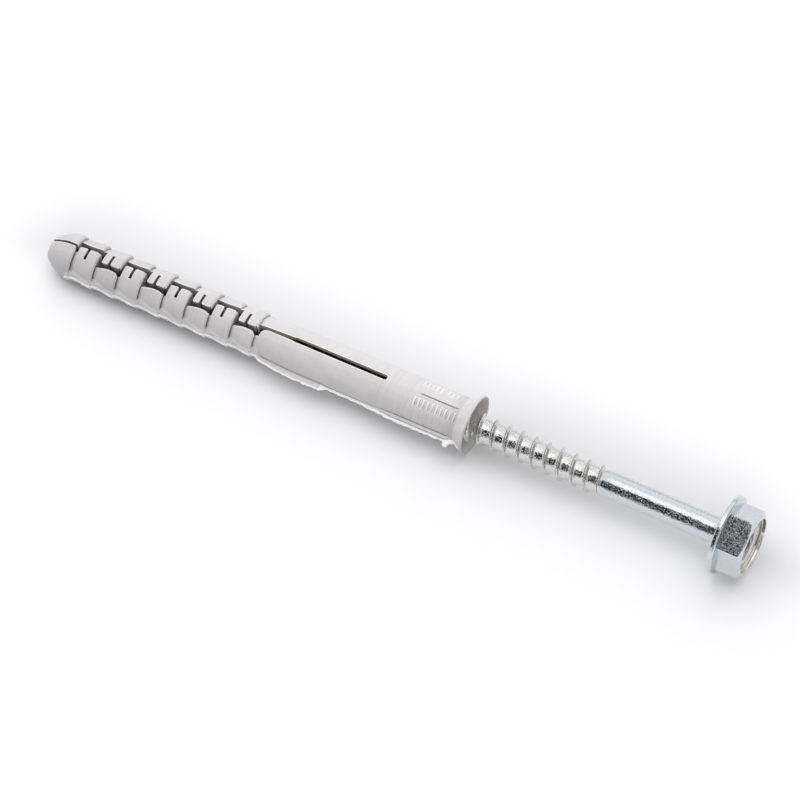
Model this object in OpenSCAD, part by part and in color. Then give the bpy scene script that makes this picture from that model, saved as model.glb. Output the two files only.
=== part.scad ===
// Frame fixing: a slotted nylon sleeve with its hexagon flange screw pushed part way in.
// Lengths in millimetres, +Z up. The fixing lies on the plane z = 0, nose towards -X and head towards +X.
// The origin is the middle of the foot of its bounding box.
// The sleeve and the screw are each drawn along +X from their own tips, then laid down as they come to rest.

/* [Sleeve] */
// Length of the sleeve from its nose to the mouth of the collar
sleeve_length = 100; // [96:1:120]
// Outside diameter of the plain body, the size of the drilled hole
sleeve_diameter = 10; // [9.8:0.1:10.6]
// Bore of the plain body that the screw slides in
bore_diameter = 7.8; // [7.7:0.05:8.2]
// Narrow bore between the two legs of the expansion zone
pilot_bore_diameter = 5; // [4.9:0.1:5.4]
// Small hole through the front of the nose
nose_hole_diameter = 2; // [1.2:0.1:2.6]
// Diameter of the flat front of the nose
nose_front_diameter = 4.5; // [3.8:0.1:5]

/* [Expansion zone] */
// Length of the rounded nose ahead of the first step
nose_length = 6.35; // [5.8:0.05:7]
// Number of barbs behind the nose
barb_count = 8; // [4:2:8]
// Length of one barb
barb_pitch = 5.45; // [5:0.05:5.5]
// How far each barb falls below its crest where the next one starts
barb_step = 0.7; // [0.4:0.05:0.9]
// Width of the winding slot where it runs along the sleeve
wave_slot_width = 1.3; // [1:0.05:1.4]
// Width of the winding slot where it crosses the sleeve
cross_slot_width = 0.85; // [0.6:0.05:1]
// How far the winding slot swings to each side of the middle
wave_swing = 1.45; // [1.2:0.05:1.5]
// How far the middle of the winding slot lies behind the middle of the sleeve
wave_offset = 0; // [-0.1:0.05:0.4]
// How far the edges facing the fingers bow towards them
edge_bow = 0.35; // [0.1:0.05:0.5]
// Width of the slot through the nose
nose_slot_width = 0.55; // [0.4:0.05:0.8]
// Width of the first, narrower finger of each pair
narrow_finger_width = 1.5; // [1.3:0.05:1.6]
// How much wider that finger is on the near leg
near_finger_extra = 0.35; // [0:0.05:0.4]
// Width of the slit between the two fingers of a pair
slit_width = 0.65; // [0.5:0.05:0.7]
// Depth of the slit between the two fingers
slit_depth = 2.5; // [1.8:0.1:2.9]

/* [Straight slot and fin] */
// Width of the straight slot in the body
body_slot_width = 1.2; // [1:0.05:1.4]
// Width of the narrow slot that leads from the barbs to the straight slot
lead_slot_width = 0.45; // [0.3:0.05:0.7]
// Length of the body between the last barb and the straight slot
lead_length = 8.3; // [7:0.1:10]
// Distance of the end of the straight slot from the mouth of the collar
slot_end_from_mouth = 20; // [16:0.5:24]
// Thickness of the fin along the parting line
fin_thickness = 0.6; // [0.5:0.05:0.8]
// How far the fin stands out of the plain body at its highest
fin_height = 1.55; // [1:0.05:1.8]
// How far the middle stretch of the fin is cut down
fin_dip = 0.6; // [0.2:0.1:0.8]
// Thickness of the heavier root of the fin
fin_root_thickness = 1.2; // [1:0.05:1.4]
// How far the root of the fin stands out of the plain body
fin_root_height = 0.5; // [0.3:0.05:0.7]
// Half the height of the wedge that fills each notch beside the parting line, at its foot on the core
web_half_height = 1.9; // [1.5:0.1:2.2]

/* [Collar] */
// Diameter over the rim of the collar
collar_diameter = 13.3; // [12.6:0.1:14]
// Length of the flare from the plain body to the rim
flare_length = 2.6; // [2:0.1:4]
// Width of the flat lip at the mouth
lip_width = 0.5; // [0.4:0.05:0.8]
// Depth of the funnel inside the mouth
funnel_depth = 3.8; // [3:0.1:5]

/* [Screw] */
// Length of the screw under its head
screw_length = 105; // [100:1:112]
// Length of screw that stands out between the mouth and the head
screw_standout = 57.2; // [54:0.1:62]
// Length of the thread with its point
thread_length = 78; // [70:0.5:82]
// Diameter over the crest of the thread
thread_diameter = 6.9; // [6.6:0.05:7]
// Diameter at the root of the thread
root_diameter = 5.3; // [5:0.1:5.6]
// Distance from one turn of the thread to the next
thread_pitch = 3.06; // [2.9:0.02:3.2]
// Angle at which the thread starts
thread_start = 65; // [0:5:355]
// Length of the point
point_length = 5; // [4:0.25:6]
// Diameter of the plain shank
shank_diameter = 5.75; // [5.7:0.05:6.2]

/* [Head] */
// Diameter of the flange under the head
flange_diameter = 17.2; // [16:0.1:18]
// Thickness of the flange at its rim
flange_rim_thickness = 1.3; // [1:0.1:1.6]
// Height at which the cone of the flange meets the hexagon
flange_height = 1.7; // [1.7:0.1:2.2]
// Width of the hexagon across its flats
hex_across_flats = 13; // [12.7:0.1:13.4]
// Height of the whole head over the bearing face
head_height = 6.7; // [6.5:0.1:8]
// Rounding of the rim of the flange
rim_rounding = 0.45; // [0.3:0.05:0.5]
// Diameter of the dished end of the head
dish_diameter = 11.7; // [10.6:0.1:11.9]
// Depth of the dish
dish_depth = 1.5; // [1:0.1:1.8]
// Distance across the lobes of the six-lobed socket
socket_across_lobes = 6.7; // [6.4:0.1:6.9]
// Depth of the socket below the dish
socket_depth = 2.6; // [2:0.1:3]

/* [Resting place] */
// Turn of the sleeve about its own axis towards the front
sleeve_roll = 6; // [0:1:10]
// Turn of the screw about its own axis towards the front
screw_roll = 27; // [25:0.5:32]
// Swing of the screw towards the front within the play of the bore
screw_swing = 0.8; // [0.3:0.1:0.8]

/* [Hidden] */
$fn = 72;
sleeve_r = sleeve_diameter / 2;
bore_r = bore_diameter / 2;
pilot_r = pilot_bore_diameter / 2;
collar_r = collar_diameter / 2;
zone_end = nose_length + barb_count * barb_pitch;
barb_small_r = sleeve_r - barb_step;
slot_end = sleeve_length - slot_end_from_mouth;
// The body grows from the small end of a barb to its full size over this length
body_taper = 12;
// Where the wide bore starts to close in ahead of the point of the screw
tip_station = sleeve_length + screw_standout - screw_length;
bore_cone_length = 3.6;
bore_cone_start = tip_station + point_length + 0.6 - bore_cone_length;
wide_bore_start = bore_cone_start + bore_cone_length;

thread_r = thread_diameter / 2;
root_r = root_diameter / 2;
shank_r = shank_diameter / 2;
flange_r = flange_diameter / 2;
hex_corner_r = hex_across_flats / 2 / cos(30);

// The sleeve rests where its nose first comes to full size and on the rim of its collar.
nose_run = nose_length - 1.1;
rim_station = sleeve_length - lip_width / 2;
sleeve_tilt = atan((collar_r - sleeve_r) / (rim_station - nose_run));
sleeve_tip_z = sleeve_r * cos(sleeve_tilt) - nose_run * sin(sleeve_tilt);

// The screw pivots half way along what is inside the sleeve and rests on the rim of its flange.
pivot_station = (tip_station + sleeve_length - funnel_depth) / 2;
pivot_x = pivot_station * cos(sleeve_tilt);
pivot_z = sleeve_tip_z + pivot_station * sin(sleeve_tilt);
pivot_on_screw = pivot_station - tip_station;
rim_on_screw = screw_length + rim_rounding;
rim_reach = rim_on_screw - pivot_on_screw;
screw_tilt = atan(flange_r / rim_reach) - asin(pivot_z / sqrt(rim_reach * rim_reach + flange_r * flange_r));
screw_yaw = -screw_swing;

// The bounding box runs from the front of the nose to the far edge of the end of the head.
nose_low_x = -nose_front_diameter / 2 * sin(abs(sleeve_tilt));
head_end_reach = screw_length + head_height - pivot_on_screw;
chamfer_r = hex_across_flats / 2 - 0.3;
head_x = pivot_x + head_end_reach * cos(screw_tilt) * cos(screw_yaw) + chamfer_r * sin(screw_tilt);
rim_mid_reach = rim_reach + flange_rim_thickness / 2 - rim_rounding;
middle_x = (nose_low_x + head_x) / 2;
middle_y = rim_mid_reach * cos(screw_tilt) * sin(screw_yaw);

module sleeve_place() {
    translate([-middle_x, -middle_y, sleeve_tip_z])
        rotate([0, -sleeve_tilt, 0])
            rotate([sleeve_roll, 0, 0])
                children();
}

module screw_place() {
    translate([pivot_x - middle_x, -middle_y, pivot_z])
        rotate([0, 0, screw_yaw])
            rotate([0, -screw_tilt, 0])
                translate([-pivot_on_screw, 0, 0])
                    rotate([screw_roll, 0, 0])
                        children();
}

// A solid of revolution about X, from points [station along X, radius]
module turned(stations) {
    rotate([0, 90, 0])
        rotate_extrude()
            polygon([for (p = stations) [p[1], p[0]]]);
}

// Outer profile of the sleeve. The nose swells like a flattened quarter sine, each barb like a shallow one.
nose_steps = 7;
// The larger this is, the less full the nose
nose_fullness = 1.15;
nose_points = [for (k = [0:nose_steps])
    [nose_run * k / nose_steps,
     nose_front_diameter / 2 + (sleeve_r - nose_front_diameter / 2) * pow(sin(90 * k / nose_steps), nose_fullness)]];
crest_round = 0.3;
barb_points = [for (i = [0:barb_count - 1], q = [0, 0.35, 0.7, 1])
    [nose_length + i * barb_pitch + q * (barb_pitch - crest_round),
     barb_small_r + barb_step * sin(90 * q)]];
flare_steps = 5;
flare_start = rim_station - flare_length;
flare_points = [for (k = [0:flare_steps])
    [flare_start + flare_length * sin(90 * k / flare_steps),
     sleeve_r + (collar_r - sleeve_r) * (1 - cos(90 * k / flare_steps))]];

module sleeve_outside() {
    turned(concat(
        [[0, 0]],
        nose_points,
        [[nose_length - crest_round, sleeve_r], [nose_length, sleeve_r - crest_round]],
        [for (i = [0:barb_count - 1], p = [0:4])
            p < 4
                ? barb_points[i * 4 + p]
                : [nose_length + (i + 1) * barb_pitch, sleeve_r - crest_round]],
        [[zone_end, barb_small_r], [zone_end + body_taper / 2, sleeve_r - barb_step * 0.3]],
        [[zone_end + body_taper, sleeve_r]],
        flare_points,
        [[sleeve_length, collar_r - lip_width / 4], [sleeve_length, 0]]));
}

module sleeve_inside() {
    funnel_start = sleeve_length - funnel_depth;
    turned([
        [-1, 0],
        [-1, nose_hole_diameter / 2],
        [nose_length / 2, nose_hole_diameter / 2],
        [nose_length / 2 + 1, pilot_r],
        [bore_cone_start, pilot_r],
        [wide_bore_start, bore_r],
        [funnel_start, bore_r],
        [sleeve_length - funnel_depth * 0.35, bore_r + (collar_r - lip_width - bore_r) * 0.42],
        [sleeve_length, collar_r - lip_width],
        [sleeve_length + 1, collar_r - lip_width],
        [sleeve_length + 1, 0]]);
}

// The winding slot as one outline seen along its own depth: x along the sleeve, y across it.
// Even bays leave fingers on the near leg, odd bays leave them on the far leg.
function bay(i) = nose_length + i * barb_pitch;
finger_reach = wave_swing - wave_slot_width / 2;
edge_reach = wave_swing + wave_slot_width / 2;
function finger_line(i, side) =
    let (a = bay(i) + cross_slot_width, s = a + narrow_finger_width,
         start = side > 0 ? a - near_finger_extra : a)
    [for (p = [[start, 0], [s, 0], [s, slit_depth], [s + slit_width, slit_depth], [s + slit_width, 0], [bay(i + 1), 0]])
        [p[0], wave_offset + side * (finger_reach - p[1])]];
bow_steps = 6;
function bowed_line(i, side) =
    let (a = bay(i), run = barb_pitch + cross_slot_width)
    [for (k = [0:bow_steps])
        [a + run * k / bow_steps,
         wave_offset + side * (edge_reach - edge_bow * sin(180 * k / bow_steps))]];
near_line = [for (i = [0:barb_count - 1]) for (p = i % 2 == 0 ? finger_line(i, 1) : bowed_line(i, -1)) p];
far_line = [for (i = [0:barb_count - 1]) for (p = i % 2 == 0 ? bowed_line(i, 1) : finger_line(i, -1)) p];
nose_slot_y = wave_offset + finger_reach - 0.35;

module slot_outline() {
    half_body = body_slot_width / 2;
    half_lead = lead_slot_width / 2;
    lead_end = zone_end + lead_length;
    half_nose = nose_slot_width / 2;
    far_count = len(far_line);
    polygon(concat(
        [[-1, nose_slot_y - half_nose], [nose_length - 0.3, nose_slot_y - half_nose],
         [nose_length + 0.1, -half_body]],
        near_line,
        [[zone_end + cross_slot_width, -half_lead - 0.9], [zone_end + cross_slot_width + 0.25, -half_lead - 0.5],
         [zone_end + cross_slot_width + 0.7, -half_lead - 0.18],
         [zone_end + cross_slot_width + 1.4, -half_lead], [lead_end, -half_lead],
         [lead_end + 0.2, -half_body], [slot_end - 0.3, -half_body],
         [slot_end, -half_body + 0.3], [slot_end, half_body - 0.3],
         [slot_end - 0.3, half_body], [lead_end + 0.2, half_body],
         [lead_end, half_lead], [zone_end, half_lead]],
        [for (k = [far_count - 1:-1:0]) far_line[k]],
        [[nose_length, nose_slot_y + half_nose], [-1, nose_slot_y + half_nose]]));
}

// The fin along the parting line: low through the barbs, then a blade of changing height on the near side.
module fin_blade() {
    crest_y = -(sleeve_r - 0.25);
    high = sleeve_r + fin_height;
    low = high - fin_dip;
    fin_end = flare_start - 0.3;
    linear_extrude(height = fin_thickness, center = true)
        polygon([
            [nose_run, -barb_small_r + 1], [nose_run, crest_y],
            [zone_end + 1.2, crest_y], [zone_end + 1.6, -sleeve_r - 0.3],
            [zone_end + 6, -sleeve_r - fin_height * 0.7], [zone_end + 9.5, -high],
            [zone_end + 15.8, -high],
            [zone_end + 16.9, -low], [slot_end - 3.6, -low],
            [slot_end + 4.4, -high], [fin_end - 1.6, -high - 0.15],
            [fin_end - 1.3, -high - 0.7], [fin_end - 0.3, -high - 0.7],
            [fin_end, -sleeve_r - fin_root_height],
            [fin_end + 1.2, -sleeve_r - fin_root_height],
            [fin_end + 1.2, -barb_small_r + 1]]);
    linear_extrude(height = fin_root_thickness, center = true)
        polygon([
            [zone_end + 2.5, -barb_small_r + 1], [zone_end + 2.5, -sleeve_r],
            [zone_end + 6, -sleeve_r - fin_root_height],
            [fin_end - 1, -sleeve_r - fin_root_height], [fin_end, -sleeve_r],
            [fin_end, -barb_small_r + 1]]);
    linear_extrude(height = fin_thickness, center = true)
        polygon([
            [nose_run, barb_small_r - 1], [nose_run, -crest_y],
            [zone_end + 1.5, -crest_y], [zone_end + 2.5, barb_small_r - 1]]);
}

// Between the barbs a wedge slopes up from the core to the parting line, once on each side.
module notch_webs() {
    foot_y = sqrt(barb_small_r * barb_small_r - web_half_height * web_half_height);
    edge_z = fin_thickness / 2;
    shelf_z = web_half_height * 0.62;
    shelf_y = sqrt(pow(sleeve_r - 0.23, 2) - shelf_z * shelf_z);
    for (side = [-1, 1])
        translate([nose_run, 0, 0])
            rotate([90, 0, 90])
                linear_extrude(height = zone_end + 1.5 - nose_run)
                    polygon([
                        [side * (foot_y - 0.6), -web_half_height - 0.3], [side * foot_y, -web_half_height],
                        [side * shelf_y, -shelf_z], [side * (shelf_y + 0.16), -shelf_z * 0.7],
                        [side * (sleeve_r - 0.02), -edge_z], [side * (sleeve_r - 0.02), edge_z],
                        [side * (shelf_y + 0.16), shelf_z * 0.7],
                        [side * shelf_y, shelf_z], [side * foot_y, web_half_height],
                        [side * (foot_y - 0.6), web_half_height + 0.3]]);
}

module sleeve() {
    color([0.78, 0.77, 0.76])
        sleeve_place()
            difference() {
                union() {
                    sleeve_outside();
                    fin_blade();
                    notch_webs();
                }
                sleeve_inside();
                linear_extrude(height = 3 * sleeve_diameter, center = true)
                    slot_outline();
            }
}

// The thread as one skin: columns follow the helix, rows cross it, and the ridge sinks at both ends.
steps_per_turn = 16;
// Stations of one turn as parts of the pitch, and how high each stands between root and crest
row_place = [0, 0.13, 0.21, 0.34];
row_rise = [0, 1, 1, 0];
columns = floor((thread_length - 0.2) / thread_pitch * steps_per_turn);
// The plain neck behind the last full turn closes the end of the skin
neck_start = (columns / steps_per_turn - 1 + row_place[3]) * thread_pitch - 0.3;
function ridge_fade(x) = min(1, max(0, (thread_length + 0.1 - x) / (0.5 * thread_pitch)));
function point_taper(x) = min(1, 0.12 + 0.88 * x / point_length);
function skin_point(i, j) =
    let (x = thread_pitch * (i / steps_per_turn + row_place[j]),
         turn = thread_start + 360 * (i % steps_per_turn) / steps_per_turn,
         r = root_r * point_taper(x) + (thread_r - root_r) * row_rise[j] * ridge_fade(x) * min(1, x / point_length))
    [x, r * cos(turn), r * sin(turn)];
last_row = len(row_place) - 1;
tail = (columns + 1) * (last_row + 1);
function skin_index(i, j) = i * (last_row + 1) + j;

module thread_skin() {
    n = steps_per_turn;
    skin = [for (i = [0:columns], j = [0:last_row]) skin_point(i, j)];
    points = concat(skin, [[0, 0, 0], [thread_length + 2, 0, 0]]);
    side = [for (i = [0:columns - 1], j = [0:last_row - 1]) each
        [[skin_index(i, j), skin_index(i, j + 1), skin_index(i + 1, j + 1)],
         [skin_index(i, j), skin_index(i + 1, j + 1), skin_index(i + 1, j)]]];
    root = [for (i = [0:columns - 1 - n]) each
        [[skin_index(i, last_row), skin_index(i + n, 0), skin_index(i + 1 + n, 0)],
         [skin_index(i, last_row), skin_index(i + 1 + n, 0), skin_index(i + 1, last_row)]]];
    front = [for (i = [0:n - 1]) [tail, skin_index(i, 0), skin_index(i + 1, 0)]];
    front_step = concat(
        [for (j = [0:last_row - 1]) [tail, skin_index(0, j + 1), skin_index(0, j)]],
        [[tail, skin_index(n, 0), skin_index(0, last_row)]]);
    back = [for (i = [columns - n:columns - 1])
        [tail + 1, skin_index(i + 1, last_row), skin_index(i, last_row)]];
    back_step = concat(
        [for (j = [0:last_row - 1]) [tail + 1, skin_index(columns, j), skin_index(columns, j + 1)]],
        [[tail + 1, skin_index(columns - n, last_row), skin_index(columns, 0)]]);
    polyhedron(points = points, faces = concat(side, root, front, front_step, back, back_step));
}

module lobed_socket() {
    lobe_r = 0.78;
    top = screw_length + head_height;
    floor_x = top - dish_depth - socket_depth;
    turned([[floor_x, 0], [floor_x, socket_across_lobes * 0.38], [top, socket_across_lobes * 0.38], [top, 0]]);
    for (k = [0:5])
        rotate([60 * k, 0, 0])
            translate([floor_x, 0, socket_across_lobes / 2 - lobe_r])
                rotate([0, 90, 0])
                    cylinder(r = lobe_r, h = top - floor_x, $fn = 24);
}

module head() {
    top = screw_length + head_height;
    rim_back = screw_length + flange_rim_thickness;
    difference() {
        union() {
            turned([
                [screw_length - 1, 0],
                [screw_length - 1, shank_r],
                [screw_length, shank_r],
                [screw_length, flange_r - rim_rounding],
                [screw_length + rim_rounding * 0.3, flange_r - rim_rounding * 0.3],
                [screw_length + rim_rounding, flange_r],
                [rim_back - rim_rounding, flange_r],
                [rim_back - rim_rounding * 0.3, flange_r - rim_rounding * 0.3],
                [rim_back, flange_r - rim_rounding],
                [screw_length + flange_height, hex_across_flats / 2],
                [screw_length + flange_height, 0]]);
            intersection() {
                translate([screw_length + 0.8, 0, 0])
                    rotate([0, 90, 0])
                        rotate([0, 0, 30])
                            cylinder(r = hex_corner_r, h = head_height - 0.8, $fn = 6);
                turned([
                    [screw_length + 0.5, 0],
                    [screw_length + 0.5, hex_corner_r + 1],
                    [top - (hex_corner_r + 1 - chamfer_r) * 0.55, hex_corner_r + 1],
                    [top, chamfer_r],
                    [top, 0]]);
            }
        }
        turned([
            [top + 1, 0],
            [top + 1, dish_diameter / 2 + 0.2],
            [top, dish_diameter / 2],
            [top - dish_depth, dish_diameter / 2 - dish_depth * 0.45],
            [top - dish_depth, 0]]);
        lobed_socket();
    }
}

module screw() {
    color([0.72, 0.74, 0.76])
        screw_place()
            union() {
                thread_skin();
                turned([
                    [neck_start, 0],
                    [neck_start, root_r + 0.03],
                    [thread_length - 0.5, root_r + 0.03],
                    [thread_length, shank_r],
                    [screw_length, shank_r],
                    [screw_length, 0]]);
                head();
            }
}

sleeve();
screw();
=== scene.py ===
import math
import bpy
import bmesh
import numpy as np
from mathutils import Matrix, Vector


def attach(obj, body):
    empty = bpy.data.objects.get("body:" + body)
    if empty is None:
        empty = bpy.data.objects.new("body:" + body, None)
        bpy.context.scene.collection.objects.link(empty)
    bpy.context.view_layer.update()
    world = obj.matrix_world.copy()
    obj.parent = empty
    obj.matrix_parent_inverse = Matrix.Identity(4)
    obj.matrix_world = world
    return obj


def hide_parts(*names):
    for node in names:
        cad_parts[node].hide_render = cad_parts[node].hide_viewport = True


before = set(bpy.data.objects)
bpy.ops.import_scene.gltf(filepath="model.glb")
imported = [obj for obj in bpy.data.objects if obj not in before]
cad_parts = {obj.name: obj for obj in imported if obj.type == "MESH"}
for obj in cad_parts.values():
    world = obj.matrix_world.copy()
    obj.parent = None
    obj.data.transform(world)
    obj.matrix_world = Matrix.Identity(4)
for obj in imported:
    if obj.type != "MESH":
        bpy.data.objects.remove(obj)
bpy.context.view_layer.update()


# Camera
# A long lens looks down on the fixing from the front and a little from the head end,
# so that the fixing runs from the upper left of the frame to the lower right.
MM = 0.001
view_azimuth = math.radians(-62.52)
view_elevation = math.radians(56.36)
view_distance = 1036 * MM
view_centre = Vector((0.85 * MM, 0.7 * MM, 5 * MM))
sight = Vector((math.cos(view_elevation) * math.cos(view_azimuth),
                math.cos(view_elevation) * math.sin(view_azimuth),
                math.sin(view_elevation)))
picture_width = 800
pixels_per_radian = 5000.2
sensor_width = 36.0
lens_data = bpy.data.cameras.new("camera")
lens_data.sensor_width = sensor_width
lens_data.lens = pixels_per_radian / picture_width * sensor_width
lens_data.clip_start = 0.01
camera = bpy.data.objects.new("camera", lens_data)
camera.location = view_centre + sight * view_distance
camera.rotation_euler = sight.to_track_quat("Z", "Y").to_euler()
bpy.context.collection.objects.link(camera)
bpy.context.scene.camera = camera


# Sleeve
# One nylon moulding: a rounded nose, eight barbs split into two legs by a winding slot, a plain
# body with a straight slot, and a collar that flares out at the mouth. All in millimetres here.
sleeve_length = 100.0
body_r = 5.0
bore_r = 3.9
pilot_r = 2.5
nose_hole_r = 1.0
nose_front_r = 2.5
nose_length = 6.35
nose_run = nose_length - 1.1
nose_fullness = 0.92
barb_count = 8
barb_pitch = 5.45
barb_step = 0.7
crest_round = 0.3
zone_end = nose_length + barb_count * barb_pitch
body_taper = 12.0
collar_r = 6.65
flare_length = 2.6
lip_width = 0.5
rim_station = sleeve_length - lip_width / 2
flare_start = rim_station - flare_length
funnel_depth = 3.8
mouth_depth = 2.6
# The slot: a cut across between the barbs, fingers with a slit between them, then a straight run
cross_slot = 0.85
finger_width = 1.5
slit_width = 0.65
slit_depth = 2.5
near_extra = 0.35
corner_r = 0.3
finger_reach = 0.8
edge_reach = 2.1
edge_bow = 0.35
lead_end = zone_end + 8.3
slot_end = 80.0
# The screw's tip stands at this place along the sleeve, and the bore widens in a cone round its point
tip_station = 52.2
point_length = 5.0
bore_cone = 3.6
bore_cone_start = tip_station + point_length + 0.6 - bore_cone

# How the sleeve lies: on the shoulder of its nose and on the rim of its collar
sleeve_tilt = math.atan((collar_r - body_r) / (rim_station - nose_run))
sleeve_tip_z = body_r * math.cos(sleeve_tilt) - nose_run * math.sin(sleeve_tilt)
sleeve_roll = math.radians(6.0)
# Where the middle of the whole fixing lies on the floor, measured from the nose of the sleeve
middle = np.array([81.9908, -1.16746, 0.0])


def turn_x(a):
    """Rotation matrix about X by the angle a."""
    return np.array([[1, 0, 0], [0, math.cos(a), -math.sin(a)], [0, math.sin(a), math.cos(a)]])


def turn_y(a):
    """Rotation matrix about Y by the angle a."""
    return np.array([[math.cos(a), 0, math.sin(a)], [0, 1, 0], [-math.sin(a), 0, math.cos(a)]])


def turn_z(a):
    """Rotation matrix about Z by the angle a."""
    return np.array([[math.cos(a), -math.sin(a), 0], [math.sin(a), math.cos(a), 0], [0, 0, 1]])


def lay_sleeve(points):
    """Sleeve points, nose at the origin and axis along X, rolled, tilted and set on the floor."""
    turned = points @ (turn_y(-sleeve_tilt) @ turn_x(sleeve_roll)).T
    return (turned - middle + np.array([0.0, 0.0, sleeve_tip_z])) * MM


def add_piece(name, points, faces, sharp_angle=32.0, merge=0.0, finish=None):
    """A mesh object from an array of points in metres and a list of faces, smooth between sharp
    edges. Finish gives each face the number of its material."""
    mesh = bpy.data.meshes.new(name)
    mesh.from_pydata(points.tolist(), [], [list(f) for f in faces])
    if finish is not None:
        mesh.polygons.foreach_set("material_index", finish)
    work = bmesh.new()
    work.from_mesh(mesh)
    if merge > 0:
        bmesh.ops.remove_doubles(work, verts=work.verts, dist=merge)
        bmesh.ops.dissolve_degenerate(work, dist=merge / 10, edges=work.edges)
        loose = [v for v in work.verts if not v.link_faces]
        bmesh.ops.delete(work, geom=loose, context="VERTS")
    bmesh.ops.recalc_face_normals(work, faces=work.faces)
    work.to_mesh(mesh)
    work.free()
    mesh.polygons.foreach_set("use_smooth", np.ones(len(mesh.polygons), dtype=bool))
    mesh.set_sharp_from_angle(angle=math.radians(sharp_angle))
    piece = bpy.data.objects.new(name, mesh)
    bpy.context.collection.objects.link(piece)
    return piece


def barb_radius(x):
    """Outer radius inside the barb zone: from the small end, a shallow sine rise to the crest."""
    along = (x - nose_length) % barb_pitch
    rise = np.sin(np.pi / 2 * np.clip(along / (barb_pitch - crest_round), 0, 1))
    return body_r - barb_step + barb_step * rise


def bore_radius(x):
    """Inner radius: nose hole, narrow bore between the legs, wide bore, then the funnel at the mouth,
    which opens as a power of the depth."""
    stations = [0, nose_length / 2, nose_length / 2 + 1, bore_cone_start, bore_cone_start + bore_cone,
                sleeve_length - funnel_depth]
    radii = [nose_hole_r, nose_hole_r, pilot_r, pilot_r, bore_r, bore_r]
    in_funnel = np.clip((x - sleeve_length + funnel_depth) / funnel_depth, 0, 1)
    return np.interp(x, stations, radii) + (collar_r - lip_width - bore_r) * in_funnel ** 1.7


# Rings along the sleeve with their outer radius. A step between barbs has two at one place.
(NOSE, CROSS_FIRST, CROSS, CROSS_LAST, NEAR_FINGERS, NEAR_SLIT, FAR_FINGERS, FAR_SLIT,
 SLOT, SOLID) = range(10)
station, outer, kind = [], [], []


def add_station(x, r, what):
    """One ring of the sleeve, and what the slot does between it and the next ring."""
    station.append(x)
    outer.append(r)
    kind.append(what)


def finger_stations(first, last):
    """Places along one finger, close together where its corners are rounded."""
    return [first, first + 0.1, first + corner_r, (first + last) / 2, last - corner_r, last - 0.1]


nose_rings = 12
for k in range(nose_rings + 1):
    share = k / nose_rings
    swell = math.sin(math.pi / 2 * share) ** nose_fullness
    add_station(nose_run * share, nose_front_r + (body_r - nose_front_r) * swell, NOSE)
add_station(nose_length - crest_round, body_r, NOSE)
add_station(nose_length, body_r - crest_round, CROSS_FIRST)
for i in range(barb_count):
    start = nose_length + i * barb_pitch
    cross = CROSS_FIRST if i == 0 else CROSS
    fingers, slit = (NEAR_FINGERS, NEAR_SLIT) if i % 2 == 0 else (FAR_FINGERS, FAR_SLIT)
    finger_start = start + cross_slot - (near_extra if i % 2 == 0 else 0)
    slit_start = start + cross_slot + finger_width
    slit_stop = slit_start + slit_width
    crest_start = start + barb_pitch - crest_round
    barb_places = [(x, cross) for x in (start, (start + finger_start) / 2)]
    barb_places += [(x, fingers) for x in finger_stations(finger_start, slit_start)]
    barb_places += [(slit_start, slit)]
    barb_places += [(x, fingers) for x in finger_stations(slit_stop, crest_start)]
    for x, what in barb_places:
        add_station(x, barb_radius(x + 1e-9), what)
    add_station(crest_start, body_r, fingers)
    add_station(start + barb_pitch, body_r - crest_round, CROSS if i < barb_count - 1 else CROSS_LAST)
groove_places = [87.9, 88.5, 96.2, 96.8]
body_places = [zone_end + d for d in (0, cross_slot / 2, cross_slot, 0.95, 1.1, 1.35, 1.8, 2.4,
                                      3.4, 5, 6.7)]
body_places += [lead_end, lead_end + 0.2, lead_end + 1.8, zone_end + body_taper, 66, 70, 74, 78]
body_places += [slot_end - 0.3, slot_end, slot_end + 1, slot_end + 3, 85.5]
body_places += [*groove_places[:2], 91, 93.5, *groove_places[2:], flare_start]
for x in body_places:
    what = CROSS_LAST if x < zone_end + cross_slot else SLOT if x < slot_end else SOLID
    grown = min(1.0, (x - zone_end) / body_taper)
    add_station(x, body_r - barb_step * (1 - math.sin(math.pi / 2 * grown)), what)
flare_rings = 9
for k in range(1, flare_rings + 1):
    share = k / flare_rings
    swell = 0.75 * share + 0.25 * share ** 2
    add_station(flare_start + flare_length * share, body_r + (collar_r - body_r) * swell, SOLID)
add_station(sleeve_length, collar_r - lip_width / 4, SOLID)
station, outer, kind = np.array(station), np.array(outer), np.array(kind)
inner = bore_radius(station)
ring_count = len(station)


def bow(x, first):
    """How far a bowed edge stands in: a half sine over one barb and its cross slot, every second
    barb."""
    run = barb_pitch + cross_slot
    along = (x - nose_length - first * barb_pitch) % (2 * barb_pitch)
    past_first = x > nose_length + first * barb_pitch - 1e-9
    in_run = (along <= run + 1e-9) & past_first & (x < zone_end + cross_slot + 1e-9)
    return np.where(in_run, edge_bow * np.sin(np.pi * np.clip(along / run, 0, 1)), 0)


# The corner of each crest is rounded off where the cross slot meets it
crest_drop, crest_run = 0.35, 0.9
before_crest = np.where(station < zone_end + 1e-6, (nose_length - station) % barb_pitch, np.inf)
corner_drop = crest_drop * np.clip(1 - before_crest / crest_run, 0, 1) ** 2
corner_drop = np.where(station >= zone_end + cross_slot, 0, corner_drop)


def rounded_corner(distance, size):
    """How far a corner of that radius falls short of square, at a distance from its end: a quarter
    circle."""
    missing = np.clip(size - distance, 0, size)
    return size - np.sqrt(np.maximum(size ** 2 - missing ** 2, 0))


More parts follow.
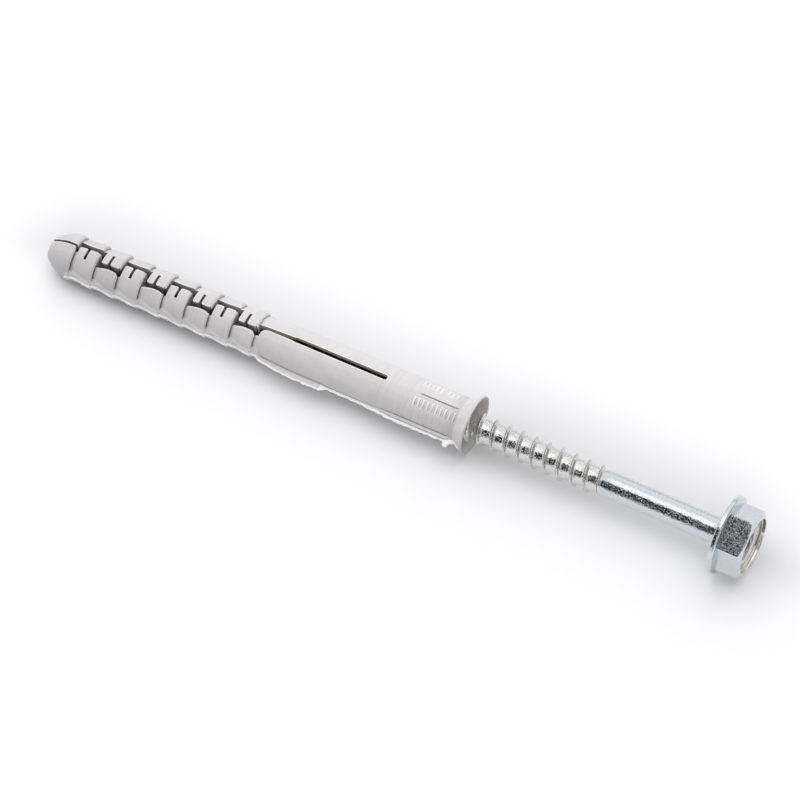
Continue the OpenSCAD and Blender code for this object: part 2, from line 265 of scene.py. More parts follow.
# Each finger is rounded at both corners of its tip, and so is the body where the cross slot ends
bay = np.floor((station - nose_length + 1e-6) / barb_pitch)
in_bay = station - nose_length - bay * barb_pitch
first_start, first_stop = cross_slot - near_extra * (bay % 2 == 0), cross_slot + finger_width
last_start, last_stop = first_stop + slit_width, barb_pitch - crest_round
from_corner = np.where(in_bay < first_stop + 1e-6,
                       np.minimum(in_bay - first_start, first_stop - in_bay),
                       np.minimum(in_bay - last_start, last_stop - in_bay))
tip_drop = rounded_corner(np.maximum(from_corner, 0), corner_r)
tip_drop = np.where((bay < 0) | (bay >= barb_count), 0, tip_drop)
body_corner_r = 1.5
past_cross = station - zone_end - cross_slot
body_corner = body_corner_r * rounded_corner(np.maximum(past_cross, 0) / body_corner_r, 1.0)
body_corner = body_corner * (past_cross > -1e-6)

# Lines along the sleeve that carry the edges of the slot, each as a distance across from the middle.
# They lie in a strip over the top, half_top wide to each side
half_top = np.minimum(3.15, 0.66 * outer)
near_edge = np.maximum(-edge_reach + bow(station, 1) - corner_drop, -0.86 * half_top)
near_slit = np.maximum(finger_reach - slit_depth, -0.7 * half_top)
far_tip = np.interp(station, [0, nose_length - 0.3, nose_length, zone_end, zone_end + cross_slot,
                              lead_end, lead_end + 0.2, slot_end - 0.3, slot_end],
                    [0.175, 0.175, -finger_reach, -finger_reach, -0.3,
                     -0.45, -0.57, -0.57, -0.3])
far_tip = far_tip + tip_drop * (bay % 2 == 1) - body_corner
near_tip = np.interp(station, [0, nose_length - 0.3, nose_length, zone_end - 1.9, zone_end,
                               lead_end, lead_end + 0.2, slot_end - 0.3, slot_end],
                     [0.725, 0.725, finger_reach, finger_reach, 0.3,
                      0.4, 0.56, 0.56, 0.3])
near_tip = near_tip - tip_drop * (bay % 2 == 0)
far_slit = np.minimum(-finger_reach + slit_depth, 0.84 * half_top)
far_edge = np.minimum(edge_reach - bow(station, 0), 0.93 * half_top)
# Past the slot the same lines close up to carry the groove
groove_share = np.interp(station, [slot_end + 1, slot_end + 3], [0, 1])
groove_far, groove_near = -0.46, -0.06
far_tip = far_tip + groove_share * (groove_far - far_tip)
near_tip = near_tip + groove_share * (groove_near - near_tip)
lines = np.stack([-half_top, near_edge, near_slit, far_tip, (far_tip + near_tip) / 2,
                  near_tip, far_slit, far_edge, half_top], 1)
line_count = lines.shape[1]
side_steps = 16


def ring_points(radius, across, reach):
    """Points round each ring: the lines over the top, the far side as equal angles, the same lines
    back under the bottom, and the near side as equal angles."""
    across = np.clip(across, -reach[:, None], reach[:, None])
    height = np.sqrt(np.maximum(radius[:, None] ** 2 - across ** 2, 0))
    edge_angle = np.arcsin(across[:, -1] / radius)
    share = np.arange(1, side_steps) / side_steps
    swing = edge_angle[:, None] + (np.pi - 2 * edge_angle[:, None]) * share[None, :]
    side_y, side_z = radius[:, None] * np.sin(swing), radius[:, None] * np.cos(swing)
    y = np.concatenate([across, side_y, across[:, ::-1], -side_y], 1)
    z = np.concatenate([height, side_z, -height[:, ::-1], -side_z], 1)
    x = np.repeat(station[:, None], y.shape[1], 1)
    return np.stack([x, y, z], 2)


outside = ring_points(outer, lines, half_top)
# A fine groove runs along the top of the body just ahead of the collar
groove_line, groove_depth = 4, 0.26
outside[:, groove_line, 2] -= groove_depth * np.interp(station, groove_places, [0, 1, 1, 0])
inside = ring_points(inner, lines, np.minimum(half_top, 0.985 * inner))
around = outside.shape[1]

# Which cells between the lines the slot leaves open, over the top and again under the bottom
slot_cells = np.zeros((SOLID + 1, line_count - 1), dtype=bool)
for what, first, stop in ((NOSE, 3, 5), (CROSS_FIRST, 3, 7), (CROSS, 1, 7), (CROSS_LAST, 1, 5),
                          (NEAR_FINGERS, 5, 7), (NEAR_SLIT, 2, 7), (FAR_FINGERS, 1, 3),
                          (FAR_SLIT, 1, 6), (SLOT, 3, 5)):
    slot_cells[what, first:stop] = True
open_cell = slot_cells[kind[:-1]]
bottom_first = line_count + side_steps - 1
solid_cell = np.ones((ring_count - 1, around), dtype=bool)
solid_cell[:, :line_count - 1] = ~open_cell
solid_cell[:, bottom_first:bottom_first + line_count - 1] = ~open_cell[:, ::-1]

index = np.arange(ring_count * around).reshape(ring_count, around)
right = np.roll(index, -1, 1)
inner_offset = ring_count * around
skin = np.stack([index[:-1], right[:-1], right[1:], index[1:]], 2)[solid_cell]
# Walls of the slot along the sleeve, where a solid cell meets an open one on the same ring
step_along = solid_cell != np.roll(solid_cell, 1, 1)
low, high = index[:-1][step_along], index[1:][step_along]
walls_along = np.stack([low, high, high + inner_offset, low + inner_offset], 1)
# Walls of the slot across the sleeve, the front of the nose and the lip of the mouth
no_cells = np.zeros((1, around), dtype=bool)
padded = np.vstack([no_cells, solid_cell, no_cells])
step_across = padded[1:] != padded[:-1]
low, high = index[step_across], right[step_across]
walls_across = np.stack([low, high, high + inner_offset, low + inner_offset], 1)
sleeve_points = np.concatenate([outside.reshape(-1, 3), inside.reshape(-1, 3)])
sleeve_faces = np.concatenate([skin, skin[:, ::-1] + inner_offset, walls_along, walls_across])

# The number of the material of each face, in the order in which the materials are added below
GREY, BORE, PAINTED_PALE, WALL, MOUTH = range(5)
walls_from = zone_end + 1.0
lip_start = sleeve_length - 1.0
skin_station = np.repeat(station[:-1, None], around, 1)[solid_cell]
along_station = station[np.nonzero(step_along)[0]]
across_station = station[np.nonzero(step_across)[0]]
in_slot = (across_station > walls_from) & (across_station < lip_start)
skin_finish = np.concatenate([np.where(skin_station > flare_start - 0.01, PAINTED_PALE, GREY),
                              np.where(skin_station > sleeve_length - mouth_depth, MOUTH, BORE),
                              np.where(along_station > walls_from, WALL, GREY),
                              np.where(in_slot, WALL, GREY)]).astype(np.int32)
sleeve_body = add_piece("sleeve_body", lay_sleeve(sleeve_points), sleeve_faces,
                        merge=0.004 * MM, finish=skin_finish)
edge = sleeve_body.modifiers.new("moulded_edges", "BEVEL")
edge.width = 0.11 * MM
edge.segments = 2
edge.limit_method = "ANGLE"
edge.angle_limit = math.radians(38)
edge.use_clamp_overlap = True
edge.harden_normals = True


def new_material(name):
    """A new material, its node tree and its main shader."""
    material = bpy.data.materials.new(name)
    material.use_nodes = True
    return material, material.node_tree, material.node_tree.nodes["Principled BSDF"]


def set_inputs(node, **numbers):
    """Sets sockets of a node by name, with an underscore for each space of the name."""
    for name, number in numbers.items():
        node.inputs[name.replace("_", " ")].default_value = number


def join(tree, value, socket):
    """Feeds a socket from another node's output, or sets it to a plain number."""
    if isinstance(value, (int, float)):
        socket.default_value = value
    else:
        tree.links.new(value, socket)


def place_on(tree, where=None, rotation=(0, 0, 0), scale=(1, 1, 1)):
    """Coordinates turned about the axes or stretched along them. They are the object's own if none
    are given."""
    if where is None:
        where = tree.nodes.new("ShaderNodeTexCoord").outputs["Object"]
    mapping = tree.nodes.new("ShaderNodeMapping")
    set_inputs(mapping, Rotation=rotation, Scale=scale)
    tree.links.new(where, mapping.inputs["Vector"])
    return mapping.outputs[0]


def noise(tree, where, scale, detail, roughness=0.5):
    """Soft noise from 0 to 1, with so many cells to one unit of the coordinates."""
    cloud = tree.nodes.new("ShaderNodeTexNoise")
    set_inputs(cloud, Scale=scale, Detail=detail, Roughness=roughness)
    tree.links.new(where, cloud.inputs["Vector"])
    return cloud.outputs["Fac"]


def ramp(tree, value, low, high, start, end, kind="LINEAR"):
    """A slope from start to end as the value goes from low to high, level outside them. It is straight
    unless another kind is given."""
    step = tree.nodes.new("ShaderNodeMapRange")
    step.interpolation_type = kind
    set_inputs(step, From_Min=low, From_Max=high, To_Min=start, To_Max=end)
    tree.links.new(value, step.inputs["Value"])
    return step.outputs["Result"]


def combine(tree, kind, *values):
    """Numbers joined by one sum, product or other plain operation."""
    made = tree.nodes.new("ShaderNodeMath")
    made.operation = kind
    for socket, value in zip(made.inputs, values):
        join(tree, value, socket)
    return made.outputs[0]


def colour_ramp(tree, value, low, low_colour, high, high_colour):
    """A colour that goes from one to the other as the value goes from low to high."""
    blend = tree.nodes.new("ShaderNodeValToRGB")
    for stop, position, colour in zip(blend.color_ramp.elements, (low, high), (low_colour, high_colour)):
        stop.position = position
        stop.color = (*colour, 1)
    tree.links.new(value, blend.inputs["Fac"])
    return blend.outputs["Color"]


def tinted(tree, colour, tint, amount=1.0):
    """A colour multiplied by a tint, the more the higher the amount."""
    mix = tree.nodes.new("ShaderNodeMix")
    mix.data_type = "RGBA"
    mix.blend_type = "MULTIPLY"
    join(tree, amount, mix.inputs["Factor"])
    tree.links.new(colour, mix.inputs["A"])
    tree.links.new(tint, mix.inputs["B"])
    return mix.outputs["Result"]


def openness(tree, distance, inside=False):
    """How open the surface is within a distance, 1 on a flat face and less in a crevice. Looking
    inside the material it is 1 under a flat face and less along an edge."""
    look = tree.nodes.new("ShaderNodeAmbientOcclusion")
    look.inside = inside
    look.samples = 12
    look.inputs["Distance"].default_value = distance
    return look.outputs["AO"]


def relief(tree, shader, height, strength, depth):
    """A bump of that height pattern on the shader, so many millimetres deep."""
    bump = tree.nodes.new("ShaderNodeBump")
    set_inputs(bump, Strength=strength, Distance=depth * MM)
    tree.links.new(height, bump.inputs["Height"])
    tree.links.new(bump.outputs["Normal"], shader.inputs["Normal"])


# Pale warm grey nylon, satin, a little uneven from the tool, painted darker as shade in the notches and
# slot
nylon, tree, shader = new_material("grey_nylon")
set_inputs(shader, Roughness=0.42, Specular_IOR_Level=0.25)
along_sleeve = place_on(tree, rotation=(-sleeve_roll, sleeve_tilt, 0))
parts = tree.nodes.new("ShaderNodeSeparateXYZ")
tree.links.new(along_sleeve, parts.inputs[0])
from_nose = combine(tree, "ADD", parts.outputs["X"], middle[0] * MM)
# The turned mould left faint rings round the sleeve, clearer towards the collar
patchy = tree.nodes.new("ShaderNodeMix")
patchy.data_type = "FLOAT"
join(tree, ramp(tree, from_nose, 72 * MM, 80 * MM, 0.3, 0.72), patchy.inputs["Factor"])
join(tree, noise(tree, along_sleeve, 260, 4, 0.65), patchy.inputs["A"])
mould_rings = noise(tree, place_on(tree, along_sleeve, scale=(1900, 70, 70)), 1.0, 3, 0.6)
join(tree, mould_rings, patchy.inputs["B"])
tint = colour_ramp(tree, patchy.outputs["Result"], 0.36, (0.775, 0.762, 0.758),
                   0.64, (0.855, 0.84, 0.83))
# Painted shade: the notches and creases are painted dark brown by how closed in they are. The painted
# shade is weaker on the far leg, as if that leg catches the light from behind
crevice = ramp(tree, openness(tree, 1.6 * MM), 0.2, 0.88, 0.06, 1.0)
crease = ramp(tree, openness(tree, 0.7 * MM), 0.3, 0.95, 0.42, 1.0)
painted_crevice_shade = colour_ramp(tree, combine(tree, "MULTIPLY", crevice, crease), 0.1, (0.115, 0.095, 0.073),
                    1.0, (1, 1, 1))
far_leg_shade_share = ramp(tree, parts.outputs["Y"], 0.8 * MM, 2.6 * MM, 1.0, 0.45)
shaded = tinted(tree, tint, painted_crevice_shade, far_leg_shade_share)
# Painted highlight: edges are painted paler, where the rounded edges would catch the light
edge_highlight = ramp(tree, openness(tree, 0.42 * MM, inside=True), 0.4, 0.9, 1.3, 1.0)
# Painted light: the body is painted a little paler than the barbs, and painted shade makes it a little
# darker again next to the flare
body_painted_light = combine(tree, "MULTIPLY", ramp(tree, from_nose, 12 * MM, 60 * MM, 0.975, 1.12),
                    ramp(tree, from_nose, 93.5 * MM, 96.5 * MM, 1.0, 0.86))
nylon_colour = tinted(tree, shaded, combine(tree, "MULTIPLY", edge_highlight, body_painted_light))
join(tree, nylon_colour, shader.inputs["Base Color"])
tool_marks = noise(tree, place_on(tree, along_sleeve, scale=(2600, 420, 420)), 1.0, 2)
relief(tree, shader, tool_marks, 0.6, 0.03)


def grained_nylon(name, colour, roughness, specular=0.5, glow_colour=(1, 1, 1), glow=0.0):
    """Nylon of one tone with the fine grain of the tool: a soft noise makes it a few per cent darker
    or paler and gives it a low bump. A glow is painted light, an emission for light through thin nylon."""
    material, tree, shader = new_material(name)
    set_inputs(shader, Roughness=roughness, Specular_IOR_Level=specular,
               Emission_Color=(*glow_colour, 1), Emission_Strength=glow)
    place = tree.nodes.new("ShaderNodeTexCoord")
    grain = noise(tree, place.outputs["Object"], 900, 3)
    darker = [0.94 * c for c in colour]
    paler = [min(1.04 * c, 1.0) for c in colour]
    join(tree, colour_ramp(tree, grain, 0.35, darker, 0.65, paler), shader.inputs["Base Color"])
    relief(tree, shader, grain, 0.5, 0.02)
    return material


# Painted shade: the bore is painted dark, as no light reaches it
bore_nylon = grained_nylon("nylon_bore", (0.13, 0.122, 0.112), 0.5)
# Painted light: the flare of the collar and the ledges of the fins are painted paler where they face the
# light
painted_pale_nylon = grained_nylon("painted_pale_nylon", (0.90, 0.88, 0.865), 0.42, 0.4)
# Painted shade and glow: the slot walls are painted dark brown, with a painted glow for light soaking
# through the legs
slot_wall = grained_nylon("nylon_slot_wall", (0.36, 0.335, 0.30), 0.6, 0.2,
                          glow_colour=(0.40, 0.35, 0.29), glow=0.18)
# The funnel of the mouth is shaded by the screw and looks warm grey
mouth_nylon = grained_nylon("nylon_mouth", (0.80, 0.78, 0.75), 0.55)
for material in (nylon, bore_nylon, painted_pale_nylon, slot_wall, mouth_nylon):
    sleeve_body.data.materials.append(material)
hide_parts("sleeve")
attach(sleeve_body, "root")


# Fin
# Part of the same moulding: a thin blade on the parting line of the tool on each side, low between
# the barbs. The near one goes on and stands out of the body, where it cuts into the hole and stops
# the sleeve turning.
fin_half = 0.3
root_half = 0.6
ledge_end = 51.0
far_fin_end = 51.3
painted_white_start = 66.6
fin_stations = np.concatenate([np.arange(5.4, 97.1, 0.15),
                               [97.2, 97.4, 97.7, 98.0, 98.3, 98.6, 98.9, 99.2]])
fin_reach = np.interp(fin_stations,
                      [5.25, 51.15, 51.55, 53.7, 55.95, 59.45, 66.9, 67.9, 75.0, 84.4,
                       95.55, 95.9, 96.8, 97.2, 98.1],
                      [4.98, 4.98, 5.2, 5.6, 5.9, 6.2, 6.2, 5.4, 5.4, 6.1,
                       5.9, 6.85, 6.85, 5.75, 5.45])
# On the flare of the collar the flash only just shows
flare_there = np.interp(fin_stations, station, outer) * (fin_stations > 97)
fin_reach = np.maximum(fin_reach, flare_there + 0.05)
root_line = np.interp(fin_stations, [5, 51.5, 52.5, 56, 62, 75.0, 83.5, 95.8, 97, 98.1],
                      [4.3, 4.3, 4.4, 4.65, 4.85, 4.85, 5.5, 5.5, 4.9, 4.9])
# The blade is a single thin leaf at first, thinnest and a little lower in the middle of the body,
# and widens to a double ledge towards the collar
leaf = np.interp(fin_stations, [51.5, 52.5, 54.5, 58, 66.9, 67.9, 75.0, 83.5],
                 [0, 0.9, 0.9, 0.6, 0.6, 1, 1, 0])
# Between the barbs a small ledge fills each notch beside the parting line, and the flash on the line
# itself stands further out of the second half of each barb than of the first
in_barb = ((fin_stations - nose_length) / barb_pitch) % 1.0
barb_number = np.floor((fin_stations - nose_length) / barb_pitch)
late = 0.05 * np.sin(2.1 * barb_number)
flash_rise = np.interp(in_barb - late, [0, 0.03, 0.46, 0.58, 0.7, 0.9, 0.97, 1.0],
                       [0.04, 0.0, -0.04, 0.16, 0.32, 0.34, 0.24, 0.04])
ledge_foot, ledge_edge = (3.93, 1.75), (4.68, 1.15)


def blade(reach, root, side):
    """A blade carried along X. Its section widens in a straight slope to a root, as high as the root
    line, and ends in the thin wavy flash where the two halves of the tool met. Each point of the
    section blends from its place between the barbs to its place on the body."""
    count = len(reach)
    x = fin_stations[:count]
    between = np.clip((zone_end + 2.0 - x) / 1.2, 0, 1)
    wave = 0.03 * np.sin(2.3 * x) + 0.025 * np.sin(3.9 * x + 1.3) + 0.02 * np.sin(7.1 * x + 0.4)
    kinks = 0.035 * np.sign(np.sin(1.7 * x)) + 0.03 * np.sign(np.sin(2.9 * x + 1.0))
    kinks = kinks + 0.03 * np.sin(5.3 * x)
    thin = leaf[:count]
    root_side = root_half - 0.48 * thin
    blade_side = fin_half - 0.18 * thin
    edge = reach + wave + (0.2 + kinks) * (1 - between) + (flash_rise[:count] + 0.02) * between
    # Near the collar a groove parts the ledge from the blade
    dug = 0.3 * np.clip((x - 80) / 3, 0, 1) * (1 - between)

    def mixed(barbs, body):
        """A size that goes from one value between the barbs to another on the body."""
        return np.broadcast_to(barbs * between + body * (1 - between), (count,))

    # Points of the section from the root to the edge, each as its distance out and its half width
    section = [(mixed(3.4, root - 0.5), mixed(1.9, root_side)),
               (mixed(ledge_foot[0], root), mixed(ledge_foot[1], root_side)),
               (mixed(ledge_edge[0], root + 0.1),
                mixed(ledge_edge[1], np.maximum(root_side - 0.1, blade_side))),
               (mixed(ledge_edge[0] + 0.05, root + 0.13), mixed(ledge_edge[1] - 0.12, blade_side - dug)),
               (mixed(4.66, root + 0.26), mixed(0.48, blade_side)),
               (mixed(4.66, reach - 0.12), mixed(0.34, blade_side - 0.02)),
               (mixed(edge - 0.26, reach - 0.04), mixed(0.24, 0.1)),
               (edge - 0.08, mixed(0.17, 0.07)), (edge, mixed(0.07, 0.05))]
    y = np.stack([a for a, b in section] + [a for a, b in section[::-1]], 1) * side
    z = np.stack([b for a, b in section] + [-b for a, b in section[::-1]], 1) - 0.15 * thin[:, None]
    grid = np.stack([np.repeat(x[:, None], y.shape[1], 1), y, z], 2)
    rows, cols = grid.shape[:2]
    idx = np.arange(rows * cols).reshape(rows, cols)
    nxt = np.roll(idx, -1, 1)
    cells = np.stack([idx[:-1], nxt[:-1], nxt[1:], idx[1:]], 2).reshape(-1, 4)
    # Painted light: the flash is painted white all along, so is a strip beside it on the near ledge
    # between the barbs, and later the whole blade
    painted_white = np.zeros((rows - 1, cols), dtype=np.int32)
    painted_white[:, 5:12] = 1
    painted_white[x[:-1] < ledge_end, 4] = side < 0
    painted_white[x[:-1] > painted_white_start, 4:13] = 1
    ends = [idx[0].tolist(), idx[-1].tolist()]
    return grid.reshape(-1, 3), cells.tolist() + ends, np.append(painted_white.ravel(), [0, 0])


# Painted light: the thin flash is painted white with a painted glow, for light coming through it
painted_white_nylon = grained_nylon("painted_white_nylon", (0.99, 0.985, 0.98), 0.42, 0.4, glow=0.17)
far_count = int(np.sum(fin_stations < far_fin_end))
for name, count, side in (("fin", len(fin_stations), -1.0), ("far_fin", far_count, 1.0)):
    points, faces, finish = blade(fin_reach[:count], root_line[:count], side)
    fin = add_piece(name, lay_sleeve(points), faces, finish=finish)
    fin.data.materials.append(painted_pale_nylon)
    fin.data.materials.append(painted_white_nylon)
    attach(fin, "root")


# Raised bars
# Two rows of plain short bars moulded on the body ahead of the collar, one on each side of the
# groove. Part of the same moulding as the sleeve.
bar_half_width = 0.24
bar_rise = 0.17
bar_foot = 0.05
near_row = np.arange(87.3, 96.7, 1.02)
far_row = np.append(np.arange(87.6, 91.8, 0.98), np.arange(93.2, 95.6, 0.98))
bar_x = np.append(near_row, far_row)
in_near_row = np.arange(len(bar_x)) < len(near_row)
bar_low = np.where(in_near_row, 14.0, -40.0)
bar_high = np.where(in_near_row, 39.0, -20.0)
across_bar = np.array([-1.0, -0.75, -0.35, 0.35, 0.75, 1.0])[None, :, None]
across_rise = np.array([0.0, 0.7, 1.0, 1.0, 0.7, 0.0])[None, :, None]
along_bar = np.linspace(0, 1, 9)[None, None, :]
along_rise = np.array([0.0, 0.85, 1.0, 1.0, 1.0, 1.0, 1.0, 0.85, 0.0])[None, None, :]
# Each bar is a grid: place along the sleeve, angle from the top towards the near side, and radius
bar_x, bar_low, bar_high = (a[:, None, None] for a in (bar_x, bar_low, bar_high))
grid_turn = np.radians(bar_low + (bar_high - bar_low) * along_bar)
grid_r = body_r - bar_foot + (bar_rise + bar_foot) * across_rise * along_rise
bar_grid = np.stack(np.broadcast_arrays(bar_x + bar_half_width * across_bar,
                                        -grid_r * np.sin(grid_turn), grid_r * np.cos(grid_turn)), 3)
count, rows, cols = bar_grid.shape[:3]
idx = np.arange(count * rows * cols).reshape(count, rows, cols)
bar_faces = np.stack([idx[:, :-1, :-1], idx[:, 1:, :-1], idx[:, 1:, 1:], idx[:, :-1, 1:]], 3)
bars = add_piece("raised_bars", lay_sleeve(bar_grid.reshape(-1, 3)), bar_faces.reshape(-1, 4),
                 sharp_angle=60)
bars.data.materials.append(nylon)
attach(bars, "root")


# Screw
# One forged and zinc-plated steel piece. Its coarse thread starts at a blunt point, a plain shank
# follows, and a hexagon head with a flange sits at the end. It lies loose in the neck of the sleeve.
screw_length = 105.0
screw_tilt = math.radians(1.64359)
screw_yaw = math.radians(-0.8)
screw_roll = math.radians(27.0)
# One point of the screw's axis, this far from its tip, stands at the pivot, which is measured from
# the nose of the sleeve and up from the floor. The screw is tilted and swung about it
pivot_on_screw = 22.0
pivot = np.array([74.1887, 0.0, 6.20294])


def lay_screw(points):
    """Screw points, tip at the origin and axis along X, rolled, laid down about the pivot and swung."""
    turned = points @ turn_x(screw_roll).T - np.array([pivot_on_screw, 0, 0])
    turned = turned @ (turn_z(screw_yaw) @ turn_y(-screw_tilt)).T
    return (turned + pivot - middle) * MM


thread_r = 3.45
root_r = 2.65
thread_pitch = 3.06
thread_length = 78.0
thread_start = math.radians(65)
steps_per_turn = 60
# One turn of the thread in section: place as a share of the pitch, and height between root and crest
profile_place = np.array([0.0, 0.05, 0.09, 0.125, 0.15, 0.17, 0.19, 0.215, 0.25, 0.29, 0.34, 0.56, 0.78])
profile_rise = np.array([0.0, 0.12, 0.5, 0.9, 0.985, 1.0, 0.985, 0.9, 0.5, 0.12, 0.0, 0.0, 0.0])
columns = np.arange(int((thread_length - 0.2) / thread_pitch * steps_per_turn) + 1)
helix_x = thread_pitch * (columns[:, None] / steps_per_turn + profile_place[None, :])
helix_angle = (thread_start + 2 * np.pi * columns / steps_per_turn)[:, None]
taper = np.minimum(1, 0.12 + 0.88 * helix_x / point_length)
fade = np.clip((thread_length + 0.1 - helix_x) / (0.5 * thread_pitch), 0, 1)
fade = fade * np.minimum(1, helix_x / point_length)
helix_r = root_r * taper + (thread_r - root_r) * profile_rise[None, :] * fade
thread_grid = np.stack([helix_x, helix_r * np.cos(helix_angle), helix_r * np.sin(helix_angle)], 2)
rows, cols = thread_grid.shape[:2]
idx = np.arange(rows * cols).reshape(rows, cols)
within = np.stack([idx[:-1, :-1], idx[:-1, 1:], idx[1:, 1:], idx[1:, :-1]], 2).reshape(-1, 4)
# The last line of each turn is sewn to the first line of the next, and a fan closes each end
n = steps_per_turn
across_turns = np.stack([idx[:-1 - n, -1], idx[n:-1, 0], idx[n + 1:, 0], idx[1:-n, -1]], 1)
tip_point, end_point = rows * cols, rows * cols + 1
front = [(tip_point, a, b) for a, b in zip(idx[:n, 0], idx[1:n + 1, 0])]
front += [(tip_point, b, a) for a, b in zip(idx[0, :-1], idx[0, 1:])]
front += [(tip_point, idx[n, 0], idx[0, -1])]
back = [(end_point, b, a) for a, b in zip(idx[-n - 1:-1, -1], idx[-n:, -1])]
back += [(end_point, a, b) for a, b in zip(idx[-1, :-1], idx[-1, 1:])]
back += [(end_point, idx[-n - 1, -1], idx[-1, 0])]
thread_points = np.concatenate([thread_grid.reshape(-1, 3), [[0, 0, 0], [thread_length + 2, 0, 0]]])
thread_faces = within.tolist() + across_turns.tolist() + front + back
# The upper part of the slope that faces the tip has a material of its own, painted dark as shade
tip_flank = slice(2, 4)
thread_finish = np.zeros(len(thread_faces), dtype=np.int32)
thread_finish[:len(within)].reshape(rows - 1, cols - 1)[:, tip_flank] = 1
thread = add_piece("screw_thread", lay_screw(thread_points), thread_faces, sharp_angle=50,
                   finish=thread_finish)


def zinc_coat(name, colour, roughness, grain_depth, pits, dark, contrast):
    """Zinc plating: a shining metal. Its grain is a bump of a soft noise and of small steep pits, which
    cover more of it the lower the number for pits is. Its colour falls to a dark share of itself in
    spots, and contrast is how sharp their edges are."""
    coat, tree, shader = new_material(name)
    set_inputs(shader, Metallic=1.0, Roughness=roughness)
    place = tree.nodes.new("ShaderNodeTexCoord")
    soft = noise(tree, place.outputs["Object"], 1700, 2, 0.6)
    fine = noise(tree, place.outputs["Object"], 3600, 2, 0.6)
    pit = ramp(tree, fine, pits, pits + 0.08, 0.0, 1.0, "SMOOTHSTEP")
    relief(tree, shader, combine(tree, "MULTIPLY_ADD", pit, -0.5, soft), 1.0, grain_depth)
    spots = colour_ramp(tree, fine, 0.5 - 0.5 / contrast, [dark * c for c in colour],
                        0.5 + 0.2 / contrast, colour)
    join(tree, spots, shader.inputs["Base Color"])
    return coat


zinc_thread = zinc_coat("zinc_thread", (0.745, 0.75, 0.73), 0.06, 0.07, 0.57, 0.75, 4.5)
thread.data.materials.append(zinc_thread)
# Painted shade: the flank of the thread towards the tip is painted dark to outline each crest, and is
# a little rougher
thread.data.materials.append(zinc_coat("zinc_painted_dark_flank", (0.33, 0.33, 0.32), 0.16, 0.05, 0.56, 0.5, 4.0))
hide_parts("screw")
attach(thread, "root")


# Shank and head
# The same forging: a plain neck and shank, a flange with a rounded rim, and a hexagon whose end is
# chamfered, dished and pierced by a six-lobed socket.
shank_r = 2.875
flange_r = 8.595
rim_thick = 1.3
rim_round = 0.45
flange_height = 1.7
flat_r = 6.5
head_height = 6.7
chamfer_r = flat_r - 0.3
chamfer_slope = 0.55
dish_r = 5.95
dish_depth = 1.5
socket_r = 3.35
socket_depth = 2.6
lobe_depth = 0.672
angles = np.linspace(0, 2 * np.pi, 288, endpoint=False)
degrees = np.degrees(angles)
from_flat = np.abs(degrees % 60 - 30)
hex_corner = flat_r / math.cos(math.radians(30))
hex_r = np.minimum(flat_r / np.cos(np.radians(from_flat)), hex_corner - 0.06)
top = screw_length + head_height
neck_start = columns[-1] / steps_per_turn * thread_pitch - 0.66 * thread_pitch - 0.3
cone_slope = (flange_height - rim_thick) / (flange_r - rim_round - flat_r)
hex_foot = screw_length + flange_height - (hex_r - flat_r) * cone_slope
hex_top = top - (hex_r - chamfer_r) * chamfer_slope
lobe = socket_r - lobe_depth * (1 + np.cos(6 * angles)) / 2
dish_floor = top - dish_depth
ring_cut = dish_floor - 0.12
socket_floor = dish_floor - socket_depth

# Rings from the neck to the bottom of the socket, each as its place along the screw and its radius
shank_steps = 12
shank_length = screw_length - thread_length
rings = [(neck_start, 0), (neck_start, root_r + 0.03), (thread_length - 0.5, root_r + 0.03)]
rings += [(thread_length + shank_length * k / shank_steps, shank_r) for k in range(shank_steps)]
rings += [(screw_length - 0.35, shank_r), (screw_length - 0.1, shank_r + 0.1),
          (screw_length, shank_r + 0.35), (screw_length, flange_r - 1.2)]
for a in np.radians(np.linspace(-90, 90, 9)):
    rim_x = screw_length + rim_round + (0 if a < 0 else rim_thick - 2 * rim_round)
    rings.append((rim_x + rim_round * math.sin(a), flange_r - rim_round + rim_round * math.cos(a)))
rings += [(screw_length + rim_thick + (flange_r - rim_round - r) * cone_slope, r) for r in (7.9, 7.55)]
rings += [(hex_foot, hex_r), (hex_foot + 0.25, hex_r), (hex_top - 0.2, hex_r), (hex_top, hex_r),
          (top, chamfer_r), (top, dish_r + 0.1)]
# The dish is turned in steps: how far each lies below the end and inside the rim of the dish
rings += [(top - down, dish_r - inward)
          for down, inward in ((0.1, 0), (0.55, 0.1), (0.7, 0.5), (1.0, 0.6), (1.12, 0.95),
                               (1.35, 1.03), (dish_depth, 1.25))]
rings += [(dish_floor, 4.5), (ring_cut, 4.4), (ring_cut, 4.05), (dish_floor, 3.95),
          (dish_floor, lobe + 0.1), (ring_cut, lobe), (socket_floor, lobe),
          (socket_floor - 0.4, 0.4 * lobe), (socket_floor - 0.5, 0)]
ring_x = np.stack([x + 0 * angles for x, r in rings])
ring_r = np.stack([r + 0 * angles for x, r in rings])
head_grid = np.stack([ring_x, ring_r * np.cos(angles), ring_r * np.sin(angles)], 2)
rows, cols = head_grid.shape[:2]
idx = np.arange(rows * cols).reshape(rows, cols)
nxt = np.roll(idx, -1, 1)
head_faces = np.stack([idx[:-1], idx[1:], nxt[1:], nxt[:-1]], 2).reshape(-1, 4)
